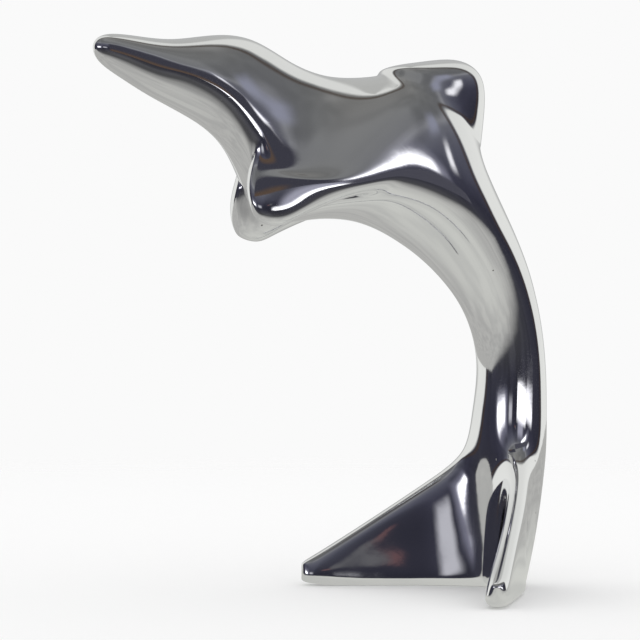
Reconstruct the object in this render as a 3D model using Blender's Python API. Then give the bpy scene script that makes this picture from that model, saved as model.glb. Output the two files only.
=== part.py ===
"""A small polished cast aluminium dolphin that leaps up from its own tail flukes.

The dolphin is one solid. Its control cage is a row of eight-point rings from the snout to the tail,
with the dorsal fin, the two flippers and the two flukes grown out of patches of that row, and a
Subdivision Surface modifier rounds it. The flukes spread into a V, stand on the ground and are
ground flat there. Frame: +Z up, the head towards -X, the dolphin's own middle plane is XZ, and the
origin is the centre of the base of its bounding box.
"""

import math

import bmesh
import bpy
from mathutils import Matrix, Vector

MM = 0.001

# Real sizes in millimetres.
HEIGHT = 198.0              # from the ground to the top of the dorsal fin
BODY_WIDTH = 49.0           # across the body where it is widest, behind the flippers
FIN_WIDTH = 36.4            # across the dorsal fin where it leaves the back
FLIPPER_THICKNESS = 16.5    # at the root
FLUKE_REACH = 77.5          # from the axis of the tail to the tip of a fluke
FLUKE_THICKNESS = 13.5      # at the root
GROUND_OFF = 0.5            # how much is ground off the bottom of the flukes to make them stand flat

SMOOTHING_LEVELS = 2
# The pose is drawn on a grid of this many steps to the height. The tables give places on it.
GRID_STEPS = 198
STEP = HEIGHT / GRID_STEPS
# The rounding pulls an eight-point ring in to this share of its size, so rings are drawn larger.
ROUNDING = (4 + 2 * math.cos(math.pi / 4)) / 6

# Body stations from the snout to the peduncle: back line (x, z), belly line (x, z), width as a share
# of the body width, how far down from back to belly it is widest, then for the shoulder and for the
# lower flank (how wide, how far out to the back or belly line), and the firmness of the side edge.
BODY = [
    ((-156.5, 195.6), (-159.0, 185.5), 0.20, 0.50, (0.70, 0.70), (0.70, 0.70), 0.30),
    ((-146.0, 195.2), (-151.0, 181.0), 0.31, 0.50, (0.70, 0.70), (0.70, 0.70), 0.30),
    ((-132.0, 194.0), (-139.0, 174.3), 0.41, 0.54, (0.70, 0.70), (0.70, 0.70), 0.30),
    ((-115.5, 198.8), (-124.5, 168.6), 0.53, 0.62, (0.66, 0.68), (0.72, 0.72), 0.30),
    ((-100.5, 199.2), (-113.0, 161.8), 0.61, 0.70, (0.62, 0.64), (0.74, 0.74), 0.20),
    ((-86.0, 190.4), (-106.0, 150.2), 0.67, 0.74, (0.58, 0.62), (0.78, 0.74), 0.0),
    ((-70.5, 187.2), (-97.0, 130.5), 0.78, 0.78, (0.62, 0.64), (0.80, 0.74), 0.0),
    ((-54.0, 189.0), (-77.5, 136.0), 0.90, 0.80, (0.76, 0.66), (0.86, 0.70), 0.0),
    ((-39.0, 183.5), (-56.5, 136.2), 1.00, 0.75, (0.88, 0.62), (0.84, 0.68), 0.0),
    ((-27.0, 174.5), (-39.5, 128.2), 1.00, 0.64, (0.88, 0.56), (0.90, 0.70), 0.0),
    ((-13.5, 162.5), (-27.5, 118.8), 0.90, 0.57, (0.76, 0.48), (0.86, 0.72), 0.0),
    ((-3.5, 143.5), (-17.5, 107.4), 0.74, 0.53, (0.70, 0.56), (0.78, 0.76), 0.10),
    ((6.5, 119.8), (-12.0, 95.0), 0.63, 0.51, (0.76, 0.74), (0.72, 0.72), 0.15),
    ((14.4, 92.0), (-10.0, 80.0), 0.55, 0.50, (0.72, 0.72), (0.70, 0.70), 0.10),
]
SNOUT_TIP = (-5.0, 1.5)       # how far the tip of the snout is from the middle of the first ring
SIDE_ROWS = (2, 12)           # the rings between which the side edge is firm

# How the front of the body is rolled about its own length and turned about the upright, in degrees:
# at the head and at the tail, and the rings between which it changes.
ROLL = (4.0, 18.3, 8, 14)
SKEW = (-15.0, 0.0, 2, 9)
# The dorsal fin and the flippers turn with the body, about these places, and the flippers roll too.
FIN_TURN = -4.0
FIN_CENTRE = (-60.0, 165.0)
FLIPPER_ROLL = 4.0
FLIPPER_TURN = -8.0
FLIPPER_CENTRE = (-95.0, 165.0)

TAIL_TURN = 18.6      # degrees the tail is turned about Z, towards the -Y side
FLUKE_SPREAD = 40.1   # degrees from the middle of the V to each fluke
FLUKE_BOW = 2.6       # how far a fluke bows away from the middle of the V
FOOT_EDGE = 3.0       # height of the firm lower edge of the flukes
# Level rings of the tail: height, then rear, hip, root outside, root inside and front as (x, y) from
# the axis of the tail, x towards the middle of the V.
TAIL = [
    (64.0, (-17.4, 0), (-10.5, 12.8), (0.5, 15.0), (9.4, 11.6), (12.6, 0)),
    (50.0, (-17.6, 0), (-8.5, 14.4), (3.5, 15.8), (12.4, 11.2), (13.4, 0)),
    (36.0, (-16.0, 0), (-5.5, 14.6), (5.0, 15.2), (13.8, 8.6), (12.2, 0)),
    (20.0, (-13.2, 0), (-3.8, 12.8), (6.0, 14.0), (14.6, 6.8), (11.8, 0)),
    (3.0, (-8.6, 0), (-1.0, 9.6), (7.6, 13.2), (16.2, 5.0), (12.8, 0)),
    (0.0, (-7.8, 0), (-0.6, 8.8), (7.6, 13.0), (16.2, 4.8), (13.0, 0)),
]
# Fluke sections: reach as a share of the whole, top edge and bottom edge height, thickness as a share
# of the root's, how far the top edge leans out, and how blunt the section is from top to bottom.
FLUKE = [
    (0.36, 40.0, 0.0, 0.94, 3.0, 0.0),
    (0.65, 25.2, 0.0, 0.76, 2.4, 0.2),
    (0.90, 13.0, 0.0, 0.70, 1.2, 0.8),
    (1.00, 8.6, 1.6, 0.54, 0.4, 1.0),
]

# Dorsal fin loops, from the body up: front (x, z), four side points (x, z, share of the fin width),
# rear (x, z), and the line of the crest between them.
DORSAL = [
    ((-54.5, 189.6), (-50.0, 184.0, 0.76), (-38.5, 178.0, 1.00), (-25.5, 170.0, 0.81), (-16.0, 164.0, 0.43),
     (-11.5, 162.0)),
    ((-53.5, 190.4), (-49.0, 187.5, 0.74), (-37.5, 184.5, 0.85), (-24.5, 179.0, 0.76), (-14.5, 173.0, 0.50),
     (-11.0, 171.5)),
    ((-52.5, 190.8), (-47.5, 190.6, 0.65), (-36.5, 192.4, 0.70), (-23.0, 193.2, 0.68), (-12.6, 189.8, 0.46),
     (-9.8, 187.4)),
]
DORSAL_CREST = ((-37.5, 193.6), (-19.5, 197.4))
DORSAL_ROWS = (7, 10)         # the body rings that the fin grows between
ROOT_CREASE = 0.6             # firmness of the edge under the rear of the fin
CREST_CREASE = 0.35

# Flipper sections for the +Y side, from the root down: leading edge and trailing edge (x, z, distance
# from the middle as a share of half the body width), share of the root's thickness, sag of the tip.
FLIPPER = [
    ((-105.5, 150.0, 0.41), (-67.5, 139.5, 0.71), 1.00, 0.0),
    ((-107.6, 140.0, 0.59), (-79.0, 135.5, 0.71), 0.73, 0.0),
    ((-105.0, 130.5, 0.70), (-91.0, 130.0, 0.72), 0.49, 4.0),
]
FLIPPER_STEPS = ((0, 0.50), (0.16, 0.92), (0.62, 1.0), (1, 0.46))   # share along the section, fullness
FLIPPER_ROWS = (5, 8)         # the body rings that the flippers grow between
FLIPPER_CREASE = 0.30         # firmness of the leading edge


def spot(x, z, y=0.0):
    """A place in millimetres from its place on the grid, y millimetres from the middle plane."""
    return Vector((x * STEP, y, z * STEP))


def ease(span, row):
    """A value that changes smoothly between two rings."""
    start, end, first, last = span
    share = min(max((row - first) / (last - first), 0.0), 1.0)
    return start + (end - start) * share * share * (3 - 2 * share)


class Cage:
    """Points and quads of the control cage, and how firm its edges are."""

    def __init__(self):
        self.points = []
        self.quads = []
        self.firm = {}

    def add(self, points):
        first = len(self.points)
        self.points.extend(Vector(p) for p in points)
        return list(range(first, len(self.points)))

    def bridge(self, ring_a, ring_b, skip=()):
        """Quads between two closed rings of as many points, less the columns in skip."""
        count = len(ring_a)
        for column in range(count):
            if column not in skip:
                after = (column + 1) % count
                self.quads.append((ring_a[column], ring_a[after], ring_b[after], ring_b[column]))

    def cap_eight(self, ring, centre):
        """Closes an eight-point ring with four quads around a centre point."""
        middle = self.add([centre])[0]
        for corner in (1, 3, 5, 7):
            self.quads.append((ring[corner - 1], ring[corner], ring[(corner + 1) % 8], middle))

    def stiffen(self, a, b, crease):
        self.firm[frozenset((a, b))] = crease


def swell(points):
    """Enlarges a ring about its centre by what the rounding takes off."""
    centre = sum(points, Vector()) / len(points)
    return [centre + (p - centre) / ROUNDING for p in points]


def section_ring(row, back, belly, width, widest, upper, lower, _):
    """Eight points of one body section, from the back line round the +Y side to the belly and back."""
    back, belly = spot(*back), spot(*belly)
    side = Vector((0.0, BODY_WIDTH / 2 * width, 0.0))
    level = back.lerp(belly, widest)
    shoulder = level.lerp(back, upper[1])
    flank = level.lerp(belly, lower[1])
    half = [back, shoulder + side * upper[0], level + side, flank + side * lower[0], belly]
    mirror = [shoulder - side * upper[0], level - side, flank - side * lower[0]]
    roll = Matrix.Rotation(math.radians(ease(ROLL, row)), 3, (back - belly).cross(side))
    turn = Matrix.Rotation(math.radians(ease(SKEW, row)), 3, "Z") @ roll
    centre = (back + belly) / 2
    return [centre + turn @ (p - centre) for p in swell(half + mirror[::-1])]


def tail_ring(height, *half):
    """Eight points of one level ring of the tail, turned to the V of the flukes."""
    turn = Matrix.Rotation(math.radians(180.0 + TAIL_TURN), 3, "Z")
    flat = [(x, -y) for x, y in half]
    flat += [(x, y) for x, y in half[-2:0:-1]]
    return [turn @ Vector((x, y, 0)) * STEP + Vector((0, 0, height * STEP - GROUND_OFF)) for x, y in flat]


def turned(points, centre, turn, roll=0.0):
    """Rolls points about the X direction, then turns them about the upright, both through centre."""
    centre = spot(*centre)
    both = Matrix.Rotation(math.radians(turn), 3, "Z") @ Matrix.Rotation(math.radians(-roll), 3, "X")
    return [centre + both @ (p - centre) for p in points]


def slab(lead, trail, across, thickness, steps, sag=0.0):
    """Two rows of points, on either side of the line from lead to trail, which hangs down by sag."""
    rows = ([], [])
    for share, full in steps:
        middle = lead.lerp(trail, share) - Vector((0, 0, 4 * share * (1 - share) * sag))
        rows[0].append(middle + across * (thickness / 2 * full))
        rows[1].append(middle - across * (thickness / 2 * full))
    return rows


def grow_slab(cage, outer, inner, sections, crease=0.0):
    """Grows a fin from a patch one quad wide. outer and inner are its two columns of points."""
    for rows in sections:
        new_outer = cage.add(rows[0])
        new_inner = cage.add(rows[1])
        cage.bridge(outer + inner[::-1], new_outer + new_inner[::-1])
        cage.stiffen(outer[0], new_outer[0], crease)
        outer, inner = new_outer, new_inner
    for row in range(len(outer) - 1):
        cage.quads.append((outer[row], outer[row + 1], inner[row + 1], inner[row]))


def grow_dorsal_fin(cage, rings):
    """Grows the dorsal fin from the back, loop by loop, and closes it along its crest."""
    first, last = DORSAL_ROWS
    rows = range(first, last + 1)
    loop = [rings[first][0]] + [rings[r][1] for r in rows]
    loop += [rings[last][0]] + [rings[r][7] for r in reversed(rows)]
    count = len(rows)
    for level, (front, *sides, rear) in enumerate(DORSAL):
        plus_side = [spot(x, z, FIN_WIDTH / 2 * share) for x, z, share in sides]
        minus_side = [spot(x, z, -FIN_WIDTH / 2 * share) for x, z, share in sides]
        points = [spot(*front)] + plus_side + [spot(*rear)] + minus_side[::-1]
        new = cage.add(turned(points, FIN_CENTRE, FIN_TURN))
        cage.bridge(loop, new)
        loop = new
        if level == 0:
            for k in range(count - 1, count + 3):
                cage.stiffen(loop[k], loop[k + 1], ROOT_CREASE)
    plus, minus = loop[1:count + 1], loop[count + 2:][::-1]
    ridge = turned([spot(*p) for p in DORSAL_CREST], FIN_CENTRE, FIN_TURN)
    crest = [loop[0]] + cage.add(ridge) + [loop[count + 1]]
    for k in range(count - 1):
        cage.stiffen(crest[k], crest[k + 1], CREST_CREASE)
        cage.quads.append((plus[k], plus[k + 1], crest[k + 1], crest[k]))
        cage.quads.append((minus[k], crest[k], crest[k + 1], minus[k + 1]))


def flipper_sections(sign):
    half_width = BODY_WIDTH / 2 * sign
    for lead, trail, share, sag in FLIPPER:
        ends = [spot(x, z, y * half_width) for x, z, y in (lead, trail)]
        rows = slab(*ends, Vector((0, sign, 0)), FLIPPER_THICKNESS * share, FLIPPER_STEPS, sag * STEP)
        yield [turned(row, FLIPPER_CENTRE, FLIPPER_TURN, FLIPPER_ROLL) for row in rows]


def fluke_sections(sign):
    angle = math.radians(180.0 + TAIL_TURN - sign * FLUKE_SPREAD)
    along = Vector((math.cos(angle), math.sin(angle), 0))
    across = Vector((-along.y, along.x, 0)) * -sign
    bow_peak = 27 / 4         # makes the greatest value of share * (1 - share) ** 2 one
    for share, top, bottom, thick, lean, blunt in FLUKE:
        middle = along * (FLUKE_REACH * share) + across * (FLUKE_BOW * bow_peak * share * (1 - share) ** 2)
        lead = middle + across * (lean * STEP) + Vector((0, 0, top * STEP - GROUND_OFF))
        trail = middle + Vector((0, 0, bottom * STEP - GROUND_OFF))
        rim = min(0.2, FOOT_EDGE / (top - bottom))
        steps = ((0, 0.42 + 0.10 * blunt), (0.16, 0.64 + 0.16 * blunt), (0.55, 0.74 + 0.26 * blunt),
                 (1 - rim, 1.0 - 0.05 * blunt), (1, 0.94 - 0.34 * blunt))
        yield slab(lead, trail, across, FLUKE_THICKNESS * thick, steps)


def build_cage():
    cage = Cage()
    rings = [cage.add(section_ring(row, *station)) for row, station in enumerate(BODY)]
    rings += [cage.add(tail_ring(*level)) for level in TAIL]
    tail_first = len(BODY)

    tip_back, tip_belly = (cage.points[rings[0][column]] for column in (0, 4))
    cage.cap_eight(rings[0], (tip_back + tip_belly) / 2 + spot(*SNOUT_TIP))
    cage.cap_eight(rings[-1], (0, 0, -GROUND_OFF))

    for row in range(len(rings) - 1):
        skip = set()
        if DORSAL_ROWS[0] <= row < DORSAL_ROWS[1]:
            skip |= {7, 0}
        if FLIPPER_ROWS[0] <= row < FLIPPER_ROWS[1] or row > tail_first:
            skip |= {2, 5}
        elif SIDE_ROWS[0] <= row < SIDE_ROWS[1]:
            for column in (2, 6):
                cage.stiffen(rings[row][column], rings[row + 1][column], BODY[row][-1])
        cage.bridge(rings[row], rings[row + 1], skip)

    grow_dorsal_fin(cage, rings)
    flipper_rows = range(FLIPPER_ROWS[0], FLIPPER_ROWS[1] + 1)
    fluke_rows = range(tail_first + 1, len(rings))
    for outer, inner, sign in ((2, 3, 1), (6, 5, -1)):
        grow_slab(cage, [rings[r][outer] for r in flipper_rows], [rings[r][inner] for r in flipper_rows],
                  flipper_sections(sign), FLIPPER_CREASE)
        grow_slab(cage, [rings[r][outer] for r in fluke_rows], [rings[r][inner] for r in fluke_rows],
                  fluke_sections(sign))
    return cage


def polished_aluminium():
    material = bpy.data.materials.new("polished aluminium")
    material.use_nodes = True
    shader = material.node_tree.nodes["Principled BSDF"]
    shader.inputs["Base Color"].default_value = (0.80, 0.81, 0.82, 1.0)
    shader.inputs["Metallic"].default_value = 1.0
    shader.inputs["Roughness"].default_value = 0.08
    return material


def ground_block():
    """What is ground away: everything below the ground under the flukes."""
    bpy.ops.mesh.primitive_cube_add(size=1.0)
    block = bpy.context.object
    block.name = "ground"
    reach = 2 * FLUKE_REACH * MM
    block.data.transform(Matrix.Diagonal((2 * reach, 2 * reach, reach, 1.0)))
    block.location.z = -reach / 2
    block.hide_render = True
    block.display_type = "WIRE"
    return block


def build_dolphin():
    cage = build_cage()
    mesh = bpy.data.meshes.new("dolphin")
    mesh.from_pydata([p * MM for p in cage.points], [], cage.quads)
    bm = bmesh.new()
    bm.from_mesh(mesh)
    bmesh.ops.recalc_face_normals(bm, faces=bm.faces)
    crease = bm.edges.layers.float.new("crease_edge")
    for edge in bm.edges:
        edge[crease] = cage.firm.get(frozenset(v.index for v in edge.verts), 0.0)
    bm.to_mesh(mesh)
    bm.free()
    mesh.shade_smooth()
    mesh.materials.append(polished_aluminium())
    dolphin = bpy.data.objects.new("dolphin", mesh)
    bpy.context.scene.collection.objects.link(dolphin)
    smooth = dolphin.modifiers.new("rounding", "SUBSURF")
    smooth.levels = smooth.render_levels = SMOOTHING_LEVELS
    ground = dolphin.modifiers.new("ground flat", "BOOLEAN")
    ground.operation = "DIFFERENCE"
    ground.solver = "EXACT"
    ground.object = ground_block()
    return dolphin


def centre_over_base(dolphin):
    """Moves the mesh so that the origin is the centre of the base of its box."""
    bpy.context.view_layer.update()
    corners = [Vector(c) for c in dolphin.evaluated_get(bpy.context.evaluated_depsgraph_get()).bound_box]
    middle = sum(corners, Vector()) / len(corners)
    dolphin.data.transform(Matrix.Translation((-middle.x, -middle.y, 0.0)))


def main():
    for old in list(bpy.data.objects):
        bpy.data.objects.remove(old)
    centre_over_base(build_dolphin())


main()
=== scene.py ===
import math

import bmesh
import bpy
from mathutils import Matrix, Vector, noise


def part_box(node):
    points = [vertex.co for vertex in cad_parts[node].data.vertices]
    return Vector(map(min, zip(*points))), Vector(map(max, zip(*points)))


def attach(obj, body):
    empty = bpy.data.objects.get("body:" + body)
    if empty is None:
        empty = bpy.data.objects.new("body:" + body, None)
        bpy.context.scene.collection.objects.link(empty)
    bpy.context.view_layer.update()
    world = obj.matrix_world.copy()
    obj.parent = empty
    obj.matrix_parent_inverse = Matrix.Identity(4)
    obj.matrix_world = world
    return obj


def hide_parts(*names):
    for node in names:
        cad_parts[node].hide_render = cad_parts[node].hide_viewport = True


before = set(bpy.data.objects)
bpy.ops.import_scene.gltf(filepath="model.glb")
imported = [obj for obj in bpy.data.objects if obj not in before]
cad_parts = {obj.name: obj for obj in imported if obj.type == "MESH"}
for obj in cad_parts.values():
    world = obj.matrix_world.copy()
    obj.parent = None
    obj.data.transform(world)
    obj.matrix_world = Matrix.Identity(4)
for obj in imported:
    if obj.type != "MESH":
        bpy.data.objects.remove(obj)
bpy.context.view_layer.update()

MM = 0.001

# Real sizes in millimetres.
HEIGHT = 198.0              # from the ground to the top of the dorsal fin
BODY_WIDTH = 49.0           # across the body where it is widest, behind the flippers
FIN_WIDTH = 36.4            # across the dorsal fin where it leaves the back
FLIPPER_THICKNESS = 16.5    # at the root
FLUKE_REACH = 77.5          # from the axis of the tail to the tip of a fluke
FLUKE_THICKNESS = 13.5      # at the root
GROUND_OFF = 0.5            # how much is ground off the bottom of the flukes to make them stand flat

# The pose is drawn on a grid of this many steps to the height. The tables give places on it.
GRID_STEPS = 198
STEP = HEIGHT / GRID_STEPS
# The rounding pulls an eight-point ring in to this share of its size, so rings are drawn larger.
ROUNDING = (4 + 2 * math.cos(math.pi / 4)) / 6

# Body stations from the snout to the peduncle: back line (x, z), belly line (x, z), width as a share
# of the body width, how far down from back to belly it is widest, then for the shoulder and for the
# lower flank (how wide, how far out to the back or belly line), and the firmness of the side edge.
BODY = [
    ((-156.5, 195.6), (-159.0, 185.5), 0.20, 0.50, (0.70, 0.70), (0.70, 0.70), 0.30),
    ((-146.0, 195.2), (-151.0, 181.0), 0.31, 0.50, (0.70, 0.70), (0.70, 0.70), 0.30),
    ((-132.0, 194.0), (-139.0, 174.3), 0.41, 0.54, (0.70, 0.70), (0.70, 0.70), 0.30),
    ((-115.5, 198.8), (-124.5, 168.6), 0.53, 0.62, (0.66, 0.68), (0.72, 0.72), 0.30),
    ((-100.5, 199.2), (-113.0, 161.8), 0.61, 0.70, (0.62, 0.64), (0.74, 0.74), 0.20),
    ((-86.0, 190.4), (-106.0, 150.2), 0.67, 0.74, (0.58, 0.62), (0.78, 0.74), 0.0),
    ((-70.5, 187.2), (-97.0, 130.5), 0.78, 0.78, (0.62, 0.64), (0.80, 0.74), 0.0),
    ((-54.0, 189.0), (-77.5, 136.0), 0.90, 0.80, (0.76, 0.66), (0.86, 0.70), 0.0),
    ((-39.0, 183.5), (-56.5, 136.2), 1.00, 0.75, (0.88, 0.62), (0.84, 0.68), 0.0),
    ((-27.0, 174.5), (-39.5, 128.2), 1.00, 0.64, (0.88, 0.56), (0.90, 0.70), 0.0),
    ((-13.5, 162.5), (-27.5, 118.8), 0.90, 0.57, (0.76, 0.48), (0.86, 0.72), 0.0),
    ((-3.5, 143.5), (-17.5, 107.4), 0.74, 0.53, (0.70, 0.56), (0.78, 0.76), 0.10),
    ((6.5, 119.8), (-12.0, 95.0), 0.63, 0.51, (0.76, 0.74), (0.72, 0.72), 0.15),
    ((14.4, 92.0), (-10.0, 80.0), 0.55, 0.50, (0.72, 0.72), (0.70, 0.70), 0.10),
]
SNOUT_TIP = (-5.0, 1.5)       # how far the tip of the snout is from the middle of the first ring
SIDE_ROWS = (2, 12)           # the rings between which the side edge is firm

# How the front of the body is rolled about its own length and turned about the upright, in degrees:
# at the head and at the tail, and the rings between which it changes.
ROLL = (4.0, 18.3, 8, 14)
SKEW = (-15.0, 0.0, 2, 9)
# The dorsal fin and the flippers turn with the body, about these places, and the flippers roll too.
FIN_TURN = -4.0
FIN_CENTRE = (-60.0, 165.0)
FLIPPER_ROLL = 4.0
FLIPPER_TURN = -8.0
FLIPPER_CENTRE = (-95.0, 165.0)

TAIL_TURN = 18.6      # degrees the tail is turned about Z, towards the -Y side
FLUKE_SPREAD = 40.1   # degrees from the middle of the V to each fluke
FLUKE_BOW = 2.6       # how far a fluke bows away from the middle of the V
FOOT_EDGE = 3.0       # height of the firm lower edge of the flukes
# Level rings of the tail: height, then rear, hip, root outside, root inside and front as (x, y) from
# the axis of the tail, x towards the middle of the V.
TAIL = [
    (64.0, (-17.4, 0), (-10.5, 12.8), (0.5, 15.0), (9.4, 11.6), (12.6, 0)),
    (50.0, (-17.6, 0), (-8.5, 14.4), (3.5, 15.8), (12.4, 11.2), (13.4, 0)),
    (36.0, (-16.0, 0), (-5.5, 14.6), (5.0, 15.2), (13.8, 8.6), (12.2, 0)),
    (20.0, (-13.2, 0), (-3.8, 12.8), (6.0, 14.0), (14.6, 6.8), (11.8, 0)),
    (3.0, (-8.6, 0), (-1.0, 9.6), (7.6, 13.2), (16.2, 5.0), (12.8, 0)),
    (0.0, (-7.8, 0), (-0.6, 8.8), (7.6, 13.0), (16.2, 4.8), (13.0, 0)),
]
# Fluke sections: reach as a share of the whole, top edge and bottom edge height, thickness as a share
# of the root's, how far the top edge leans out, and how blunt the section is from top to bottom.
FLUKE = [
    (0.36, 40.0, 0.0, 0.94, 3.0, 0.0),
    (0.65, 25.2, 0.0, 0.76, 2.4, 0.2),
    (0.90, 13.0, 0.0, 0.70, 1.2, 0.8),
    (1.00, 8.6, 1.6, 0.54, 0.4, 1.0),
]

# Dorsal fin loops, from the body up: front (x, z), four side points (x, z, share of the fin width),
# rear (x, z), and the line of the crest between them.
DORSAL = [
    ((-54.5, 189.6), (-50.0, 184.0, 0.76), (-38.5, 178.0, 1.00), (-25.5, 170.0, 0.81), (-16.0, 164.0, 0.43),
     (-11.5, 162.0)),
    ((-53.5, 190.4), (-49.0, 187.5, 0.74), (-37.5, 184.5, 0.85), (-24.5, 179.0, 0.76), (-14.5, 173.0, 0.50),
     (-11.0, 171.5)),
    ((-52.5, 190.8), (-47.5, 190.6, 0.65), (-36.5, 192.4, 0.70), (-23.0, 193.2, 0.68), (-12.6, 189.8, 0.46),
     (-9.8, 187.4)),
]
DORSAL_CREST = ((-37.5, 193.6), (-19.5, 197.4))
DORSAL_ROWS = (7, 10)         # the body rings that the fin grows between
ROOT_CREASE = 0.6             # firmness of the edge under the rear of the fin
CREST_CREASE = 0.35

# Flipper sections for the +Y side, from the root down: leading edge and trailing edge (x, z, distance
# from the middle as a share of half the body width), share of the root's thickness, sag of the tip.
FLIPPER = [
    ((-105.5, 150.0, 0.41), (-67.5, 139.5, 0.71), 1.00, 0.0),
    ((-107.6, 140.0, 0.59), (-79.0, 135.5, 0.71), 0.73, 0.0),
    ((-105.0, 130.5, 0.70), (-91.0, 130.0, 0.72), 0.49, 4.0),
]
FLIPPER_STEPS = ((0, 0.50), (0.16, 0.92), (0.62, 1.0), (1, 0.46))   # share along the section, fullness
FLIPPER_ROWS = (5, 8)         # the body rings that the flippers grow between
FLIPPER_CREASE = 0.30         # firmness of the leading edge


def spot(x, z, y=0.0):
    """A place in millimetres from its place on the grid, y millimetres from the middle plane."""
    return Vector((x * STEP, y, z * STEP))


def ease(span, row):
    """A value that changes smoothly between two rings."""
    start, end, first, last = span
    share = min(max((row - first) / (last - first), 0.0), 1.0)
    return start + (end - start) * share * share * (3 - 2 * share)


class Cage:
    """Points and quads of the control cage, and how firm its edges are."""

    def __init__(self):
        self.points = []
        self.quads = []
        self.firm = {}

    def add(self, points):
        first = len(self.points)
        self.points.extend(Vector(p) for p in points)
        return list(range(first, len(self.points)))

    def bridge(self, ring_a, ring_b, skip=()):
        """Quads between two closed rings of as many points, less the columns in skip."""
        count = len(ring_a)
        for column in range(count):
            if column not in skip:
                after = (column + 1) % count
                self.quads.append((ring_a[column], ring_a[after], ring_b[after], ring_b[column]))

    def cap_eight(self, ring, centre):
        """Closes an eight-point ring with four quads around a centre point."""
        middle = self.add([centre])[0]
        for corner in (1, 3, 5, 7):
            self.quads.append((ring[corner - 1], ring[corner], ring[(corner + 1) % 8], middle))

    def stiffen(self, a, b, crease):
        self.firm[frozenset((a, b))] = crease


def swell(points):
    """Enlarges a ring about its centre by what the rounding takes off."""
    centre = sum(points, Vector()) / len(points)
    return [centre + (p - centre) / ROUNDING for p in points]


def section_ring(row, back, belly, width, widest, upper, lower, _):
    """Eight points of one body section, from the back line round the +Y side to the belly and back."""
    back, belly = spot(*back), spot(*belly)
    side = Vector((0.0, BODY_WIDTH / 2 * width, 0.0))
    level = back.lerp(belly, widest)
    shoulder = level.lerp(back, upper[1])
    flank = level.lerp(belly, lower[1])
    half = [back, shoulder + side * upper[0], level + side, flank + side * lower[0], belly]
    mirror = [shoulder - side * upper[0], level - side, flank - side * lower[0]]
    roll = Matrix.Rotation(math.radians(ease(ROLL, row)), 3, (back - belly).cross(side))
    turn = Matrix.Rotation(math.radians(ease(SKEW, row)), 3, "Z") @ roll
    centre = (back + belly) / 2
    return [centre + turn @ (p - centre) for p in swell(half + mirror[::-1])]


def tail_ring(height, *half):
    """Eight points of one level ring of the tail, turned to the V of the flukes."""
    turn = Matrix.Rotation(math.radians(180.0 + TAIL_TURN), 3, "Z")
    flat = [(x, -y) for x, y in half]
    flat += [(x, y) for x, y in half[-2:0:-1]]
    return [turn @ Vector((x, y, 0)) * STEP + Vector((0, 0, height * STEP - GROUND_OFF)) for x, y in flat]


def turned(points, centre, turn, roll=0.0):
    """Rolls points about the X direction, then turns them about the upright, both through centre."""
    centre = spot(*centre)
    both = Matrix.Rotation(math.radians(turn), 3, "Z") @ Matrix.Rotation(math.radians(-roll), 3, "X")
    return [centre + both @ (p - centre) for p in points]


def slab(lead, trail, across, thickness, steps, sag=0.0):
    """Two rows of points, on either side of the line from lead to trail, which hangs down by sag."""
    rows = ([], [])
    for share, full in steps:
        middle = lead.lerp(trail, share) - Vector((0, 0, 4 * share * (1 - share) * sag))
        rows[0].append(middle + across * (thickness / 2 * full))
        rows[1].append(middle - across * (thickness / 2 * full))
    return rows


def grow_slab(cage, outer, inner, sections, crease=0.0):
    """Grows a fin from a patch one quad wide. outer and inner are its two columns of points."""
    for rows in sections:
        new_outer = cage.add(rows[0])
        new_inner = cage.add(rows[1])
        cage.bridge(outer + inner[::-1], new_outer + new_inner[::-1])
        cage.stiffen(outer[0], new_outer[0], crease)
        outer, inner = new_outer, new_inner
    for row in range(len(outer) - 1):
        cage.quads.append((outer[row], outer[row + 1], inner[row + 1], inner[row]))


def grow_dorsal_fin(cage, rings):
    """Grows the dorsal fin from the back, loop by loop, and closes it along its crest."""
    first, last = DORSAL_ROWS
    rows = range(first, last + 1)
    loop = [rings[first][0]] + [rings[r][1] for r in rows]
    loop += [rings[last][0]] + [rings[r][7] for r in reversed(rows)]
    count = len(rows)
    for level, (front, *sides, rear) in enumerate(DORSAL):
        plus_side = [spot(x, z, FIN_WIDTH / 2 * share) for x, z, share in sides]
        minus_side = [spot(x, z, -FIN_WIDTH / 2 * share) for x, z, share in sides]
        points = [spot(*front)] + plus_side + [spot(*rear)] + minus_side[::-1]
        new = cage.add(turned(points, FIN_CENTRE, FIN_TURN))
        cage.bridge(loop, new)
        loop = new
        if level == 0:
            for k in range(count - 1, count + 3):
                cage.stiffen(loop[k], loop[k + 1], ROOT_CREASE)
    plus, minus = loop[1:count + 1], loop[count + 2:][::-1]
    ridge = turned([spot(*p) for p in DORSAL_CREST], FIN_CENTRE, FIN_TURN)
    crest = [loop[0]] + cage.add(ridge) + [loop[count + 1]]
    for k in range(count - 1):
        cage.stiffen(crest[k], crest[k + 1], CREST_CREASE)
        cage.quads.append((plus[k], plus[k + 1], crest[k + 1], crest[k]))
        cage.quads.append((minus[k], crest[k], crest[k + 1], minus[k + 1]))


def flipper_sections(sign):
    half_width = BODY_WIDTH / 2 * sign
    for lead, trail, share, sag in FLIPPER:
        ends = [spot(x, z, y * half_width) for x, z, y in (lead, trail)]
        rows = slab(*ends, Vector((0, sign, 0)), FLIPPER_THICKNESS * share, FLIPPER_STEPS, sag * STEP)
        yield [turned(row, FLIPPER_CENTRE, FLIPPER_TURN, FLIPPER_ROLL) for row in rows]


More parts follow.
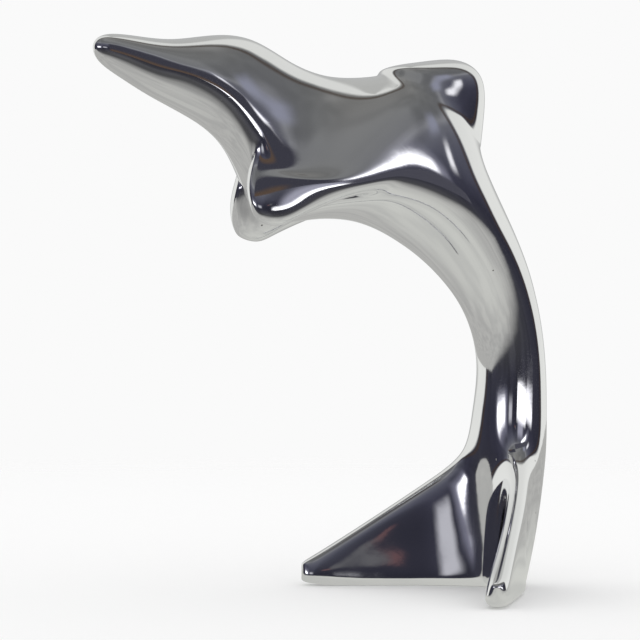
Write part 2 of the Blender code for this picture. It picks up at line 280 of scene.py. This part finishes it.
def fluke_sections(sign):
    angle = math.radians(180.0 + TAIL_TURN - sign * FLUKE_SPREAD)
    along = Vector((math.cos(angle), math.sin(angle), 0))
    across = Vector((-along.y, along.x, 0)) * -sign
    bow_peak = 27 / 4         # makes the greatest value of share * (1 - share) ** 2 one
    for share, top, bottom, thick, lean, blunt in FLUKE:
        middle = along * (FLUKE_REACH * share) + across * (FLUKE_BOW * bow_peak * share * (1 - share) ** 2)
        lead = middle + across * (lean * STEP) + Vector((0, 0, top * STEP - GROUND_OFF))
        trail = middle + Vector((0, 0, bottom * STEP - GROUND_OFF))
        rim = min(0.2, FOOT_EDGE / (top - bottom))
        steps = ((0, 0.42 + 0.10 * blunt), (0.16, 0.64 + 0.16 * blunt), (0.55, 0.74 + 0.26 * blunt),
                 (1 - rim, 1.0 - 0.05 * blunt), (1, 0.94 - 0.34 * blunt))
        yield slab(lead, trail, across, FLUKE_THICKNESS * thick, steps)


def build_cage():
    cage = Cage()
    rings = [cage.add(section_ring(row, *station)) for row, station in enumerate(BODY)]
    rings += [cage.add(tail_ring(*level)) for level in TAIL]
    tail_first = len(BODY)

    tip_back, tip_belly = (cage.points[rings[0][column]] for column in (0, 4))
    cage.cap_eight(rings[0], (tip_back + tip_belly) / 2 + spot(*SNOUT_TIP))
    cage.cap_eight(rings[-1], (0, 0, -GROUND_OFF))

    for row in range(len(rings) - 1):
        skip = set()
        if DORSAL_ROWS[0] <= row < DORSAL_ROWS[1]:
            skip |= {7, 0}
        if FLIPPER_ROWS[0] <= row < FLIPPER_ROWS[1] or row > tail_first:
            skip |= {2, 5}
        elif SIDE_ROWS[0] <= row < SIDE_ROWS[1]:
            for column in (2, 6):
                cage.stiffen(rings[row][column], rings[row + 1][column], BODY[row][-1])
        cage.bridge(rings[row], rings[row + 1], skip)

    grow_dorsal_fin(cage, rings)
    flipper_rows = range(FLIPPER_ROWS[0], FLIPPER_ROWS[1] + 1)
    fluke_rows = range(tail_first + 1, len(rings))
    for outer, inner, sign in ((2, 3, 1), (6, 5, -1)):
        grow_slab(cage, [rings[r][outer] for r in flipper_rows], [rings[r][inner] for r in flipper_rows],
                  flipper_sections(sign), FLIPPER_CREASE)
        grow_slab(cage, [rings[r][outer] for r in fluke_rows], [rings[r][inner] for r in fluke_rows],
                  fluke_sections(sign))
    return cage


# The visible skin is rounded more finely than the solid.
SKIN_LEVELS = 4
# Wavelength and height in metres of the waviness left by hand finishing.
WAVES = ((0.030, 0.00010), (0.011, 0.00003), (0.0045, 0.000006))
# The waviness grows from the first of these heights above the ground to its full size at the second.
CALM_BELOW = (0.00015, 0.00165)

# Colours of clean, of handled and of pitted metal.
CLEAN_METAL = (0.905, 0.905, 0.910)
HANDLED_METAL = (0.875, 0.878, 0.885)
PITTED_METAL = (0.22, 0.21, 0.20)
# Roughness of clean and of handled metal, and what a polishing line and a pit add to it.
CLEAN_ROUGHNESS = 0.050
HANDLED_ROUGHNESS = 0.075
LINE_ROUGHNESS = 0.035
PIT_ROUGHNESS = 0.35
# Polishing lines in two directions: width in millimetres, how the noise is stretched and turned, and
# between which values of it they come up.
LINES = [
    (0.8, (0.05, 1.0, 1.0), (0, 35, 10), (0.60, 0.75)),
    (0.7, (1.0, 0.05, 0.8), (20, -40, 0), (0.62, 0.78)),
]
LINE_DETAIL = 2.0
LINES_ELSEWHERE = 0.25     # how strong the lines are where the buff hasn't worn the metal
# Patches: size in millimetres, detail, and between which values of the noise they come up.
WORN = (22.0, 3.0, 0.40, 0.66)
PITTED = (16.0, 1.0, 0.62, 0.70)
HAZY = (30.0, 4.0, 0.42, 0.70)
# Pits: how far apart they are in millimetres, and where their rim starts and ends as shares of that.
PIT_SPACING = 4.5
PIT_RIM = (0.045, 0.085)
# Dents: size in millimetres and detail.
DENTS = (3.5, 2.0)
# Height of the dents and of the polishing lines as shares of the depth of a pit, which is in metres.
DENT_HEIGHT = 0.22
LINE_HEIGHT = 0.020
PIT_DEPTH = 0.0001
RELIEF_STRENGTH = 0.35

# The camera, and where in the picture the axis of the tail meets the ground.
CAMERA_AZIMUTH = 22.0      # degrees from the dolphin's own -Y side towards its snout
CAMERA_DISTANCE = 0.650    # metres from the axis of the tail
FRAME_WIDTH = 640.0        # pixels
FOCAL_PIXELS = 1729.0
TAIL_PIXEL = (507.0, 583.0)
HORIZON_PIXEL = 395.0
SENSOR_WIDTH = 36.0        # millimetres

# The room in front of the object, as a mirror sees it: elevation in degrees and 8-bit grey.
ROOM = [
    (-25, (84, 84, 86)),
    (-10, (66, 66, 72)),
    (0, (52, 52, 62)),
    (8, (46, 46, 58)),
    (16, (56, 56, 69)),
    (26, (78, 79, 91)),
    (34, (98, 99, 107)),
    (37, (128, 129, 134)),
    (41, (108, 109, 112)),
    (52, (114, 115, 116)),
    (70, (122, 122, 121)),
    (90, (114, 114, 112)),
]
# Soft patches in the room: scale of the noise, the values of it between which they change, and how
# bright they are there.
ROOM_NOISE = 2.2
ROOM_SPREAD = (0.35, 0.65)
ROOM_PATCHES = (0.80, 1.20)
# Soft windows, lamps and two dim things in the room, the wide glows first: left and right end as
# azimuths from the camera direction, bottom, top, how much they rise towards the right, softness of
# the ends, the bottom and the top, all in degrees, and brightness.
WINDOWS = [
    (15.0, 38.0, 3.5, 24.0, 0.0, 5.0, 2.0, 7.0, (0.36, 0.36, 0.44)),
    (-66.0, -34.0, 5.0, 17.0, 0.0, 6.0, 2.0, 7.0, (0.22, 0.22, 0.29)),
    (34.0, 60.0, 20.0, 29.0, -0.7, 5.0, 5.0, 5.0, (0.26, 0.26, 0.33)),
    (56.0, 68.0, 33.0, 41.0, 0.0, 4.0, 3.0, 4.0, (0.26, 0.27, 0.34)),
    (8.0, 47.0, 3.0, 9.0, 0.0, 3.0, 1.5, 4.0, (2.4, 2.4, 2.5)),
    (47.0, 70.0, 2.0, 6.0, 0.0, 3.0, 1.5, 3.0, (1.6, 1.6, 1.7)),
    (36.0, 54.5, 22.0, 28.5, -0.75, 2.5, 2.0, 3.0, (1.8, 1.8, 1.9)),
    (68.0, 74.0, 20.0, 28.0, 0.0, 2.0, 3.0, 3.0, (0.95, 0.95, 1.0)),
    (-64.0, -41.0, 6.5, 12.0, 0.0, 3.5, 1.5, 3.0, (2.2, 2.2, 2.3)),
    (-27.0, -14.0, 7.0, 13.0, 0.0, 3.0, 2.0, 2.5, (0.50, 0.50, 0.55)),
    (0.0, 4.0, 14.3, 15.6, 0.0, 1.2, 0.4, 0.4, (0.150, 0.080, 0.085)),
    (3.6, 6.5, 14.8, 17.0, 0.0, 0.8, 0.7, 0.8, (0.120, 0.120, 0.130)),
]

# The white backdrop: degrees from the camera direction where it starts, level and overhead, half the
# softness of its edge in degrees, and its 8-bit colour, level and from this elevation up.
BACKDROP_SIDE = 108.0
BACKDROP_TOP = 88.0
BACKDROP_EDGE = 2.5
BACKDROP_LEVEL = (232, 233, 230)
BACKDROP_ABOVE = (222, 223, 220)
BACKDROP_FADE = 60.0
# The dim border in front of its edge: where it starts, is full and ends, in degrees from the edge.
BORDER = (-9.0, -5.0, -2.0)
BORDER_COLOUR = (66, 54, 46)
BORDER_STRENGTH = 0.75
# Behind the camera direction the backdrop gives way to the room again, in part: from and to these
# azimuths either way, and from and to these elevations.
BACK_ROOM = (143.0, 164.0)
BACK_ROOM_RISE = (-6.0, 3.0)
BACK_ROOM_STRENGTH = 0.45

PAPER = 250                # display grey of the plain background
FLOOR_PAPER = 252          # the floor is a little paler, because the dolphin shades it
FLOOR_SIZE = 6.0           # metres
FLOOR_DEPTH = 0.0002       # metres under the foot
FLOOR_FADE = (0.3, 1.4)    # metres from the tail between which it gives way to the background
# In the mirror the floor is a glow of painted light that stands in for a lit sheet of paper: pale and
# dull patches of painted light, each near the tail and farther off, the metres between which they
# change, the scale of the noise and the values of it between which pale turns to dull, and the metres
# in front of the tail between which the sheet ends.
PALE_PAINTED_FLOOR_LIGHT = ((207, 208, 203), (184, 184, 181))
DULL_PAINTED_FLOOR_LIGHT = ((196, 197, 193), (172, 172, 170))
PAINTED_FLOOR_LIGHT_REACH = (0.03, 0.28)
PAINTED_FLOOR_LIGHT_NOISE = 14.0
PAINTED_FLOOR_LIGHT_SPREAD = (0.38, 0.62)
PAPER_END = (0.17, 0.40)

# Dark cards in front of the head and the flank, which only the mirror shows: name, left, right, bottom
# and top in metres from the axis of the tail on the ground, and 8-bit colours of the card and of its
# lower left part, if that differs. They stand this far towards the camera.
CARDS = [
    ("dark card", -0.156, 0.002, 0.1805, 0.246, (60, 60, 70), (88, 73, 63)),
    ("flank card", -0.012, 0.300, 0.1400, 0.194, (74, 74, 84), None),
]
CARD_DISTANCE = 0.130
# Where the soft edges of a card end, as shares of its width and height, and where its lower left part
# fades, upwards and to the right.
CARD_LEFT = 0.06
CARD_RIGHT = 0.86
CARD_BOTTOM = 0.05
CARD_TOP = 0.72
CARD_LOW_PART = (0.08, 0.32)
CARD_LEFT_PART = (0.50, 0.62)

# Sockets of the Mix node for colours.
MIX_FACTOR, MIX_FIRST, MIX_SECOND, MIX_RESULT = 0, 6, 7, 2


class Nodes:
    """Short forms for the shader nodes used below."""

    def __init__(self, tree):
        self.tree = tree
        tree.nodes.clear()

    def new(self, kind, **settings):
        node = self.tree.nodes.new(kind)
        for key, value in settings.items():
            setattr(node, key, value)
        return node

    def join(self, output, socket):
        self.tree.links.new(output, socket)

    def put(self, socket, value):
        """Joins an output to a socket, or sets the socket to a number or a colour."""
        if isinstance(value, bpy.types.NodeSocket):
            self.join(value, socket)
        elif isinstance(value, tuple) and socket.type == "RGBA":
            socket.default_value = (*value, 1.0)
        else:
            socket.default_value = value

    def maths(self, operation, first, second=None):
        node = self.new("ShaderNodeMath", operation=operation)
        self.put(node.inputs[0], first)
        if second is not None:
            self.put(node.inputs[1], second)
        return node.outputs[0]

    def dot(self, vector, constant):
        node = self.new("ShaderNodeVectorMath", operation="DOT_PRODUCT")
        self.join(vector, node.inputs[0])
        node.inputs[1].default_value = constant
        return node.outputs["Value"]

    def span(self, value, low, high, to_low=0.0, to_high=1.0, kind="SMOOTHSTEP"):
        """A value that goes from to_low to to_high while the first one goes from low to high."""
        node = self.new("ShaderNodeMapRange", interpolation_type=kind)
        self.put(node.inputs["Value"], value)
        for name, number in (("From Min", low), ("From Max", high), ("To Min", to_low), ("To Max", to_high)):
            self.put(node.inputs[name], number)
        return node.outputs["Result"]

    def between(self, value, rise, fall):
        """One inside two ends, each given as where it starts and where it stops, and zero outside."""
        return self.maths("MULTIPLY", self.span(value, *rise), self.span(value, *fall, 1.0, 0.0))

    def mix(self, factor, first, second):
        node = self.new("ShaderNodeMix", data_type="RGBA")
        self.put(node.inputs[MIX_FACTOR], factor)
        self.put(node.inputs[MIX_FIRST], first)
        self.put(node.inputs[MIX_SECOND], second)
        return node.outputs[MIX_RESULT]

    def noise(self, place, scale):
        node = self.new("ShaderNodeTexNoise")
        self.join(place, node.inputs["Vector"])
        node.inputs["Scale"].default_value = scale
        return node

    def blend_shaders(self, factor, first, second):
        node = self.new("ShaderNodeMixShader")
        self.put(node.inputs[0], factor)
        self.join(first, node.inputs[1])
        self.join(second, node.inputs[2])
        return node.outputs[0]

    def show(self, shader, kind="ShaderNodeOutputMaterial"):
        self.join(shader, self.new(kind).inputs["Surface"])


def linear(red, green, blue):
    """Scene-linear colour of 8-bit display values."""
    return tuple(((v / 255 + 0.055) / 1.055) ** 2.4 for v in (red, green, blue))


# The dolphin
def ground_block(reach):
    """What is ground away: everything below the ground under the flukes."""
    bpy.ops.mesh.primitive_cube_add(size=1.0)
    block = bpy.context.object
    block.data.transform(Matrix.Diagonal((4 * reach, 4 * reach, reach, 1.0)))
    block.location.z = -reach / 2
    return block


def rounded_mesh(cage):
    """The smoothed cage, ground flat below, as a plain mesh in the frame of the design."""
    rough = bpy.data.meshes.new("rough")
    rough.from_pydata([p * MM for p in cage.points], [], cage.quads)
    bm = bmesh.new()
    bm.from_mesh(rough)
    bmesh.ops.recalc_face_normals(bm, faces=bm.faces)
    crease = bm.edges.layers.float.new("crease_edge")
    for edge in bm.edges:
        edge[crease] = cage.firm.get(frozenset(v.index for v in edge.verts), 0.0)
    bm.to_mesh(rough)
    bm.free()
    body = bpy.data.objects.new("rough", rough)
    bpy.context.scene.collection.objects.link(body)
    smooth = body.modifiers.new("rounding", "SUBSURF")
    smooth.levels = smooth.render_levels = SKIN_LEVELS
    ground = body.modifiers.new("ground flat", "BOOLEAN")
    ground.operation = "DIFFERENCE"
    ground.object = ground_block(FLUKE_REACH * MM)
    bpy.context.view_layer.update()
    seen = body.evaluated_get(bpy.context.evaluated_depsgraph_get())
    mesh = bpy.data.meshes.new_from_object(seen)
    bpy.data.objects.remove(ground.object)
    bpy.data.objects.remove(body)
    return mesh


def box_of(mesh):
    low = Vector([min(v.co[axis] for v in mesh.vertices) for axis in range(3)])
    high = Vector([max(v.co[axis] for v in mesh.vertices) for axis in range(3)])
    return low, high


def wavy(mesh):
    """Low waves that hand grinding and polishing leave in a casting."""
    mesh.update()
    normals = [v.normal.copy() for v in mesh.vertices]
    start, full = CALM_BELOW
    for vertex, normal in zip(mesh.vertices, normals):
        height = sum(noise.noise(vertex.co / length) * size for length, size in WAVES)
        share = min(1.0, max(0.0, (vertex.co.z - start) / (full - start)))
        vertex.co += normal * height * share


cad_low, cad_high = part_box("dolphin")
skin = rounded_mesh(build_cage())
own_low, own_high = box_of(skin)
tail_axis = (cad_low + cad_high) / 2 - (own_low + own_high) / 2
tail_axis.z = 0.0
skin.transform(Matrix.Translation(tail_axis))
wavy(skin)
skin.shade_smooth()
skin.name = "dolphin_skin"
dolphin = bpy.data.objects.new("dolphin_skin", skin)
bpy.context.scene.collection.objects.link(dolphin)


# Its metal
def polished_aluminium():
    material = bpy.data.materials.new("hand polished aluminium")
    material.use_nodes = True
    n = Nodes(material.node_tree)
    place = n.new("ShaderNodeTexCoord").outputs["Object"]

    def cloud(size_mm, detail, stretch=(1.0, 1.0, 1.0), turn=(0.0, 0.0, 0.0)):
        """Noise with features of about size_mm."""
        map_node = n.new("ShaderNodeMapping")
        n.join(place, map_node.inputs["Vector"])
        map_node.inputs["Rotation"].default_value = [math.radians(angle) for angle in turn]
        map_node.inputs["Scale"].default_value = stretch
        node = n.noise(map_node.outputs["Vector"], 1 / (size_mm * MM))
        node.inputs["Detail"].default_value = detail
        return node.outputs["Fac"]

    def patches(size_mm, detail, low, high):
        return n.span(cloud(size_mm, detail), low, high)

    # Polishing lines, where the buff has run.
    along, across = (n.span(cloud(width, LINE_DETAIL, stretch, turn), *shows)
                     for width, stretch, turn, shows in LINES)
    worn = n.span(patches(*WORN), 0.0, 1.0, LINES_ELSEWHERE, 1.0)
    lines = n.maths("MULTIPLY", n.maths("MAXIMUM", along, across), worn)
    # Casting pits: rare small dark pores, in patches.
    pores = n.new("ShaderNodeTexVoronoi", feature="F1")
    n.join(place, pores.inputs["Vector"])
    pores.inputs["Scale"].default_value = 1 / (PIT_SPACING * MM)
    pit = n.maths("MULTIPLY", n.span(pores.outputs["Distance"], *PIT_RIM, 1.0, 0.0), patches(*PITTED))
    # A faint haze of handling.
    haze = patches(*HAZY)

    shader = n.new("ShaderNodeBsdfPrincipled")
    shader.inputs["Metallic"].default_value = 1.0
    metal = n.mix(haze, CLEAN_METAL, HANDLED_METAL)
    n.join(n.mix(pit, metal, PITTED_METAL), shader.inputs["Base Color"])
    rough = n.span(haze, 0.0, 1.0, CLEAN_ROUGHNESS, HANDLED_ROUGHNESS)
    rough = n.maths("ADD", rough, n.maths("MULTIPLY", lines, LINE_ROUGHNESS))
    rough = n.maths("ADD", rough, n.maths("MULTIPLY", pit, PIT_ROUGHNESS))
    n.join(rough, shader.inputs["Roughness"])

    dents = n.maths("MULTIPLY", cloud(*DENTS), DENT_HEIGHT)
    relief = n.maths("SUBTRACT", dents, n.maths("MULTIPLY", lines, LINE_HEIGHT))
    relief = n.maths("SUBTRACT", relief, pit)
    bump = n.new("ShaderNodeBump")
    bump.inputs["Strength"].default_value = RELIEF_STRENGTH
    bump.inputs["Distance"].default_value = PIT_DEPTH
    n.join(relief, bump.inputs["Height"])
    n.join(bump.outputs["Normal"], shader.inputs["Normal"])
    n.show(shader.outputs[0])
    return material


skin.materials.clear()
skin.materials.append(polished_aluminium())

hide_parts("dolphin")
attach(dolphin, "root")


# The camera
UPRIGHT = Vector((0, 0, 1))
azimuth = math.radians(CAMERA_AZIMUTH)
to_camera = Vector((-math.sin(azimuth), -math.cos(azimuth), 0.0))
right = Vector((math.cos(azimuth), -math.sin(azimuth), 0.0))
tilt = math.atan((HORIZON_PIXEL - FRAME_WIDTH / 2) / FOCAL_PIXELS)
metres_per_pixel = CAMERA_DISTANCE / FOCAL_PIXELS
camera_data = bpy.data.cameras.new("camera")
camera_data.sensor_width = SENSOR_WIDTH
camera_data.lens = FOCAL_PIXELS / FRAME_WIDTH * SENSOR_WIDTH
camera_data.clip_start = 0.01
camera_data.clip_end = 50.0
camera = bpy.data.objects.new("camera", camera_data)
bpy.context.scene.collection.objects.link(camera)
bpy.context.scene.camera = camera
up = UPRIGHT * math.cos(tilt) + to_camera * math.sin(tilt)
back = to_camera * math.cos(tilt) - UPRIGHT * math.sin(tilt)
eye = tail_axis + to_camera * CAMERA_DISTANCE
eye -= right * ((TAIL_PIXEL[0] - FRAME_WIDTH / 2) * metres_per_pixel)
eye.z = (TAIL_PIXEL[1] - HORIZON_PIXEL) * metres_per_pixel
camera.matrix_world = Matrix.Translation(eye) @ Matrix((right, up, back)).transposed().to_4x4()


# The studio that the mirror shows
def room_colour(n, ray, height):
    """The room by elevation, with soft patches."""
    low, high = ROOM[0][0], ROOM[-1][0]
    ramp = n.new("ShaderNodeValToRGB")
    n.join(n.span(height, low, high, kind="LINEAR"), ramp.inputs["Fac"])
    stops = ramp.color_ramp.elements
    while len(stops) < len(ROOM):
        stops.new(0.5)
    for stop, (angle, _) in zip(stops, ROOM):
        stop.position = (angle - low) / (high - low)
    for stop, (_, grey) in zip(stops, ROOM):
        stop.color = (*linear(*grey), 1.0)
    patches = n.noise(ray, ROOM_NOISE).outputs["Fac"]
    dappled = n.new("ShaderNodeVectorMath", operation="SCALE")
    n.join(ramp.outputs["Color"], dappled.inputs[0])
    n.join(n.span(patches, *ROOM_SPREAD, *ROOM_PATCHES), dappled.inputs["Scale"])
    return dappled.outputs["Vector"]


def with_windows(n, colour, turn, height):
    """The room with its windows, each laid over what was there before."""
    for left, far_right, bottom, top, rises, end, sill, lintel, glow in WINDOWS:
        wide = n.between(turn, (left - end, left + end), (far_right - end, far_right + end))
        off_middle = n.maths("SUBTRACT", turn, (left + far_right) / 2)
        level = n.maths("SUBTRACT", height, n.maths("MULTIPLY", off_middle, rises))
        tall = n.between(level, (bottom - sill, bottom + sill), (top - lintel, top + lintel))
        colour = n.mix(n.maths("MULTIPLY", wide, tall), colour, glow)
    return colour


def studio_world():
    world = bpy.data.worlds.new("studio")
    bpy.context.scene.world = world
    world.use_nodes = True
    n = Nodes(world.node_tree)
    ray = n.new("ShaderNodeVectorMath", operation="NORMALIZE")
    n.join(n.new("ShaderNodeTexCoord").outputs["Generated"], ray.inputs[0])
    ray = ray.outputs["Vector"]
    ahead = n.dot(ray, to_camera)
    degrees = 180.0 / math.pi
    turn = n.maths("MULTIPLY", n.maths("ARCTAN2", n.dot(ray, right), ahead), degrees)
    height = n.maths("MULTIPLY", n.maths("ARCSINE", n.dot(ray, UPRIGHT)), degrees)
    away = n.maths("MULTIPLY", n.maths("ARCCOSINE", ahead), degrees)

    room = room_colour(n, ray, height)
    colour = with_windows(n, room, turn, height)
    edge = n.span(height, 0.0, 90.0, BACKDROP_SIDE, BACKDROP_TOP, kind="LINEAR")
    inside = n.maths("SUBTRACT", away, edge)
    start, full, end = BORDER
    dim = n.maths("MULTIPLY", n.between(inside, (start, full), (full, end)), BORDER_STRENGTH)
    colour = n.mix(dim, colour, linear(*BORDER_COLOUR))
    cloth = n.mix(n.span(height, 0.0, BACKDROP_FADE), linear(*BACKDROP_LEVEL), linear(*BACKDROP_ABOVE))
    behind = n.span(n.maths("ABSOLUTE", turn), *BACK_ROOM)
    behind = n.maths("MULTIPLY", behind, n.span(height, *BACK_ROOM_RISE, 0.0, BACK_ROOM_STRENGTH))
    cloth = n.mix(behind, cloth, room)
    colour = n.mix(n.span(inside, -BACKDROP_EDGE, BACKDROP_EDGE), colour, cloth)

    mirrored = n.new("ShaderNodeBackground")
    n.join(colour, mirrored.inputs["Color"])
    soft = n.new("ShaderNodeBackground")
    n.put(soft.inputs["Color"], (1.0, 1.0, 1.0))
    paper = n.new("ShaderNodeBackground")
    n.put(paper.inputs["Color"], linear(PAPER, PAPER, PAPER))
    path = n.new("ShaderNodeLightPath")
    both = n.blend_shaders(path.outputs["Is Glossy Ray"], soft.outputs[0], mirrored.outputs[0])
    both = n.blend_shaders(path.outputs["Is Camera Ray"], both, paper.outputs[0])
    n.show(both, "ShaderNodeOutputWorld")


def studio_floor():
    bpy.ops.mesh.primitive_plane_add(size=FLOOR_SIZE, location=(tail_axis.x, tail_axis.y, -FLOOR_DEPTH))
    floor = bpy.context.object
    floor.name = "floor"
    material = bpy.data.materials.new("pale floor with painted mirror light")
    material.use_nodes = True
    n = Nodes(material.node_tree)
    place = n.new("ShaderNodeVectorMath", operation="SUBTRACT")
    n.join(n.new("ShaderNodeNewGeometry").outputs["Position"], place.inputs[0])
    place.inputs[1].default_value = tail_axis
    place = place.outputs["Vector"]
    reach = n.new("ShaderNodeVectorMath", operation="LENGTH")
    n.join(place, reach.inputs[0])
    reach = reach.outputs["Value"]
    paper = n.new("ShaderNodeBsdfDiffuse")
    n.put(paper.inputs["Color"], linear(FLOOR_PAPER, FLOOR_PAPER, FLOOR_PAPER))
    # Painted light: in the mirror the floor glows, brighter near the tail and in pale patches, in place of a
    # lit floor.
    glow = n.new("ShaderNodeEmission")
    farther = n.span(reach, *PAINTED_FLOOR_LIGHT_REACH)
    pale, dull = (n.mix(farther, linear(*near), linear(*far)) for near, far in (PALE_PAINTED_FLOOR_LIGHT, DULL_PAINTED_FLOOR_LIGHT))
    patches = n.noise(place, PAINTED_FLOOR_LIGHT_NOISE).outputs["Fac"]
    n.join(n.mix(n.span(patches, *PAINTED_FLOOR_LIGHT_SPREAD), pale, dull), glow.inputs["Color"])
    clear = n.new("ShaderNodeBsdfTransparent")
    # In the mirror the painted floor light ends a little way in front of the object.
    in_front = n.span(n.dot(place, to_camera), *PAPER_END)
    mirrored = n.blend_shaders(in_front, glow.outputs[0], clear.outputs[0])
    seen = n.blend_shaders(n.span(reach, *FLOOR_FADE), paper.outputs[0], clear.outputs[0])
    path = n.new("ShaderNodeLightPath")
    n.show(n.blend_shaders(path.outputs["Is Camera Ray"], mirrored, seen))
    floor.data.materials.append(material)


def dark_card(name, left, far_right, bottom, top, tone, low_tone):
    """A card with soft edges that faces the object, and that the camera doesn't see."""
    centre = tail_axis + right * ((left + far_right) / 2) + to_camera * CARD_DISTANCE
    centre.z = (bottom + top) / 2
    bpy.ops.mesh.primitive_plane_add(size=1.0)
    card = bpy.context.object
    card.name = name
    facing = Matrix((right, UPRIGHT, to_camera)).transposed().to_4x4()
    size = Matrix.Diagonal((far_right - left, top - bottom, 1.0, 1.0))
    card.matrix_world = Matrix.Translation(centre) @ facing @ size
    card.visible_camera = card.visible_diffuse = card.visible_shadow = False
    material = bpy.data.materials.new(name)
    material.use_nodes = True
    n = Nodes(material.node_tree)
    place = n.new("ShaderNodeSeparateXYZ")
    n.join(n.new("ShaderNodeTexCoord").outputs["Generated"], place.inputs[0])
    across, up_card = place.outputs["X"], place.outputs["Y"]
    solid = n.maths("MULTIPLY", n.between(across, (0.0, CARD_LEFT), (CARD_RIGHT, 1.0)),
                    n.between(up_card, (0.0, CARD_BOTTOM), (CARD_TOP, 1.0)))
    colour = linear(*tone)
    if low_tone:
        lower_left = n.maths("MULTIPLY", n.span(up_card, *CARD_LOW_PART, 1.0, 0.0),
                             n.span(across, *CARD_LEFT_PART, 1.0, 0.0))
        colour = n.mix(lower_left, colour, linear(*low_tone))
    shade = n.new("ShaderNodeEmission")
    n.put(shade.inputs["Color"], colour)
    clear = n.new("ShaderNodeBsdfTransparent")
    n.show(n.blend_shaders(solid, clear.outputs[0], shade.outputs[0]))
    card.data.materials.append(material)


studio_world()
studio_floor()
for card_values in CARDS:
    dark_card(*card_values)
bpy.context.scene.view_settings.view_transform = "Standard"
bpy.context.scene.view_settings.look = "None"
